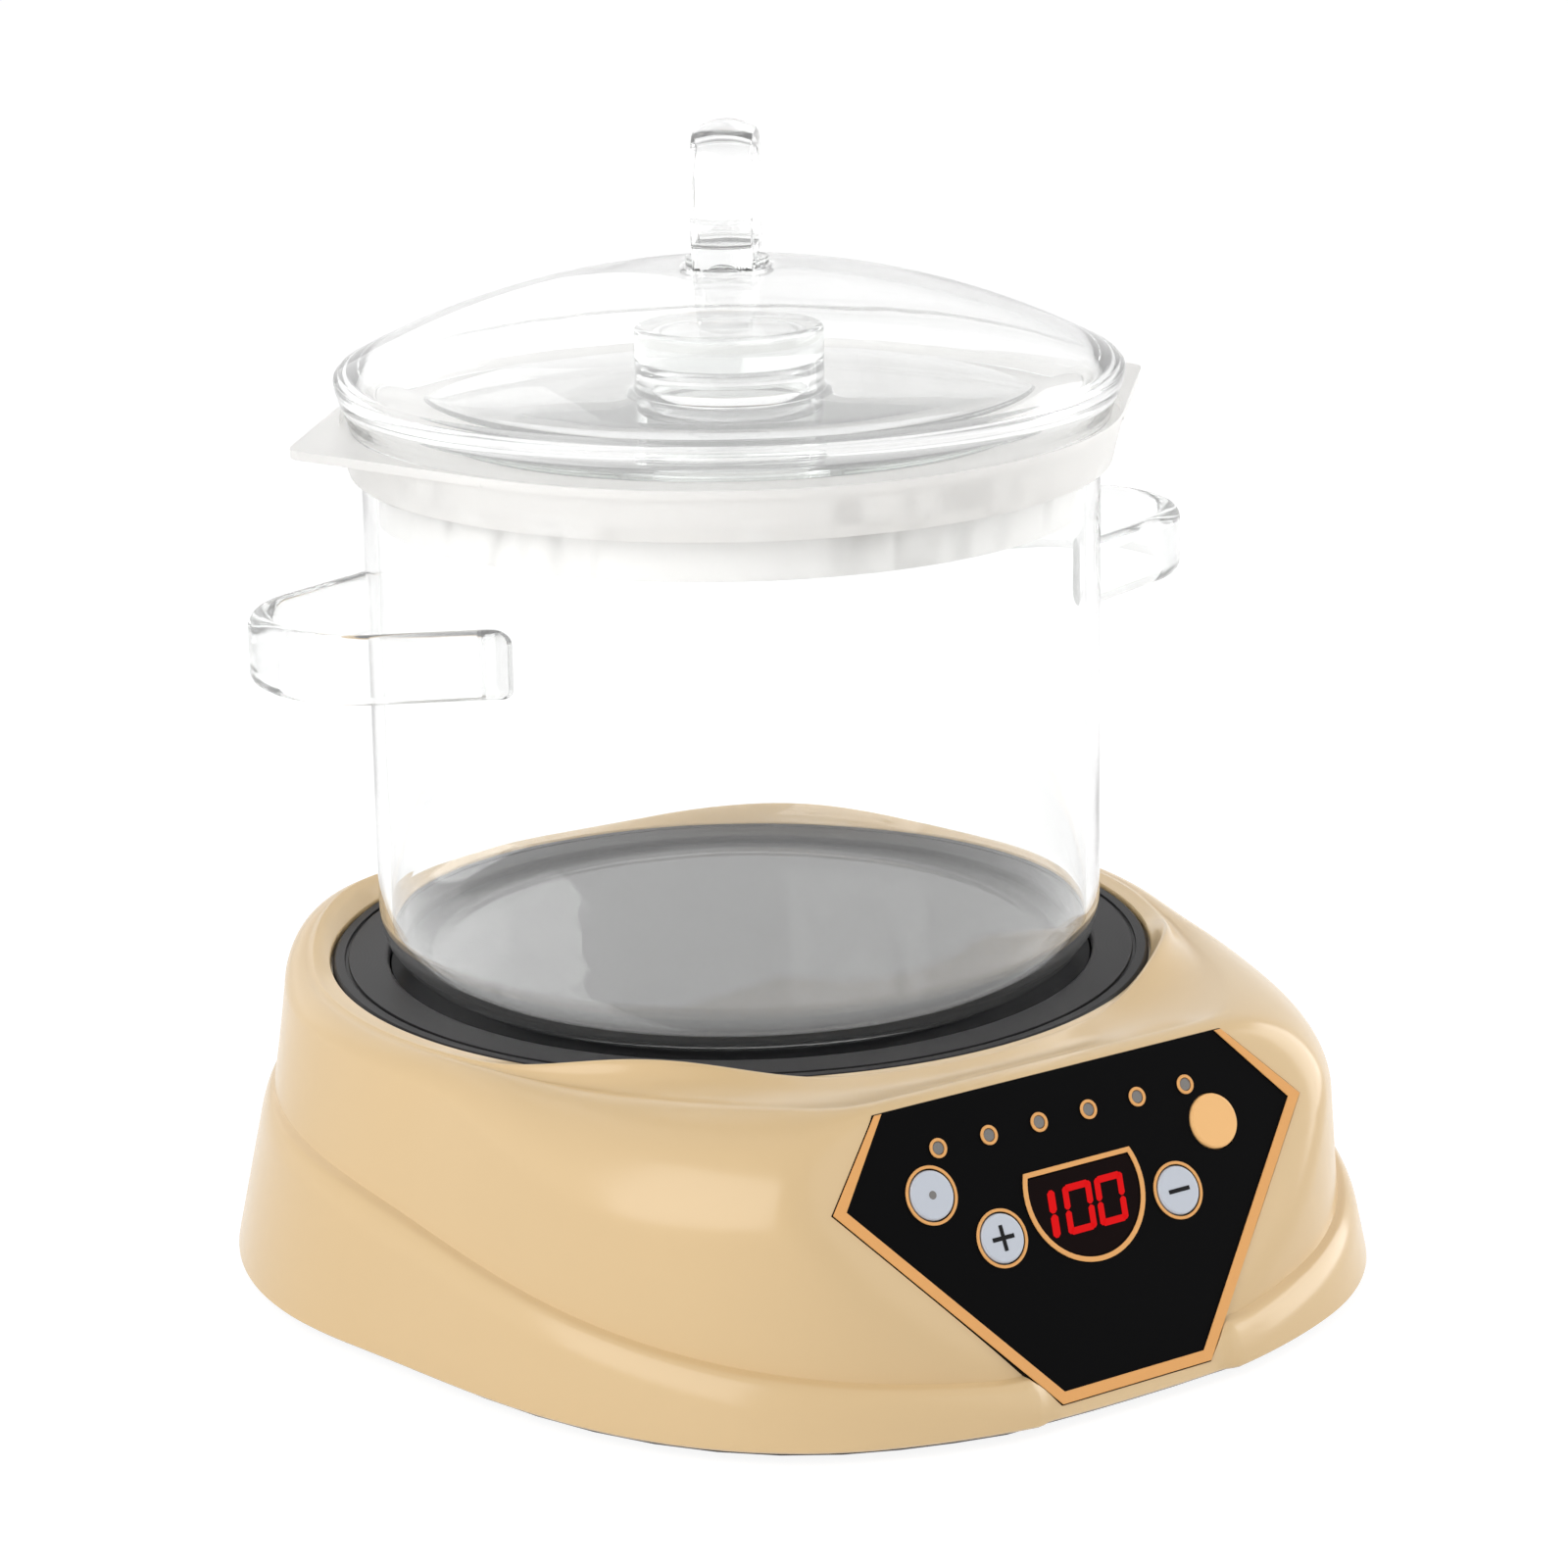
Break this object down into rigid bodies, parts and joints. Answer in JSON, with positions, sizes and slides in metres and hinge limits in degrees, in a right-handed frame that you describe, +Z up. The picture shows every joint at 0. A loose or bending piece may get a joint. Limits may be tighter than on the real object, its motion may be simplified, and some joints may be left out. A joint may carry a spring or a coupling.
{
  "type": "electric stew pot",
  "caption": "Countertop electric stew pot: cream moulded hob base with slanted key panel, lift-off glass pot with ear handles, frosted anti-spill collar, flat inner lid and domed lid.",
  "frame": {"origin": "middle of the footprint, on the table under the rubber feet", "axes": "+Z up, -Y towards the user and the key panel, +X to the user's right"},
  "size_m": [0.2936, 0.3118, 0.3003],
  "materials": {
    "cream_plastic": "smooth moulded gloss, warm cream",
    "underside_plastic": "fine spark-eroded grey",
    "foot_rubber": "matt black",
    "screw_steel": "zinc plated",
    "hob_black": "satin charcoal enamel",
    "plate_black": "glossy black non-stick coat",
    "element_steel": "heat-dulled tube",
    "reflector_sheet": "bright sheet",
    "ceramic": "unglazed ceramic",
    "probe_steel": "turned",
    "board_green": "lacquered circuit board",
    "relay_blue": "moulded case",
    "capacitor_yellow": "moulded case",
    "winding_tape": "tape-wrapped",
    "inlet_black": "fine moulded black",
    "pin_metal": "nickel-washed",
    "panel_black": "satin black film",
    "copper_trim": "satin copper-orange print",
    "switch_black": "moulded",
    "display_dark": "smoked red window",
    "light_lens": "frosted lens",
    "key_silver": "pearl grey film",
    "key_copper": "copper-orange film",
    "clear_glass": "clear blown borosilicate",
    "frosted_collar": "translucent white silicone"
  },
  "bodies": {
    "base": {"housing": "cream_plastic", "bottom_plate": "underside_plastic", "rubber_feet": "foot_rubber", "housing_screws": "screw_steel", "hob_ring": "hob_black", "heating_plate": "plate_black", "heating_element": "element_steel", "heat_reflector": "reflector_sheet", "reflector_posts": "ceramic", "temperature_probe": "probe_steel", "probe_spring": "probe_steel", "thermal_cutout": "ceramic", "power_board": "board_green", "board_standoffs": "ceramic", "relay": "relay_blue", "capacitor": "capacitor_yellow", "transformer": "winding_tape", "inlet_socket": "inlet_black", "inlet_pins": "pin_metal", "panel_plate": "panel_black", "panel_border": "copper_trim", "control_board": "board_green", "key_switches": "switch_black", "display_module": "switch_black", "display_window": "display_dark", "display_bezel": "copper_trim", "indicator_lights": "light_lens", "indicator_rings": "copper_trim", "key_rings": "copper_trim"},
    "pot": {"glass_pot": "clear_glass", "left_ear": "clear_glass", "right_ear": "clear_glass"},
    "collar": {"collar": "frosted_collar"},
    "inner_lid": {"inner_lid": "clear_glass"},
    "outer_lid": {"dome_lid": "clear_glass", "lid_loop": "clear_glass"},
    "plus_key": {"plus_key": "key_silver"},
    "minus_key": {"minus_key": "key_silver"},
    "timer_key": {"timer_key": "key_silver"},
    "function_key": {"function_key": "key_copper"}
  },
  "joints": [
    {"name": "pot_lift", "type": "slide", "parent": "base", "child": "pot", "axis": [0, 0, 1], "range_m": [0, 0.08]},
    {"name": "collar_lift", "type": "slide", "parent": "pot", "child": "collar", "axis": [0, 0, 1], "range_m": [0, 0.05]},
    {"name": "inner_lid_lift", "type": "slide", "parent": "collar", "child": "inner_lid", "axis": [0, 0, 1], "range_m": [0, 0.05]},
    {"name": "outer_lid_lift", "type": "slide", "parent": "inner_lid", "child": "outer_lid", "axis": [0, 0, 1], "range_m": [0, 0.08]},
    {"name": "plus_press", "type": "slide", "parent": "base", "child": "plus_key", "axis": [0, 0.8949, -0.4462], "range_m": [0, 0.0005], "stiffness_N_per_m": 1500},
    {"name": "minus_press", "type": "slide", "parent": "base", "child": "minus_key", "axis": [0, 0.8949, -0.4462], "range_m": [0, 0.0005], "stiffness_N_per_m": 1500},
    {"name": "timer_press", "type": "slide", "parent": "base", "child": "timer_key", "axis": [0, 0.8949, -0.4462], "range_m": [0, 0.0005], "stiffness_N_per_m": 1500},
    {"name": "function_press", "type": "slide", "parent": "base", "child": "function_key", "axis": [0, 0.8949, -0.4462], "range_m": [0, 0.0005], "stiffness_N_per_m": 1500}
  ]
}
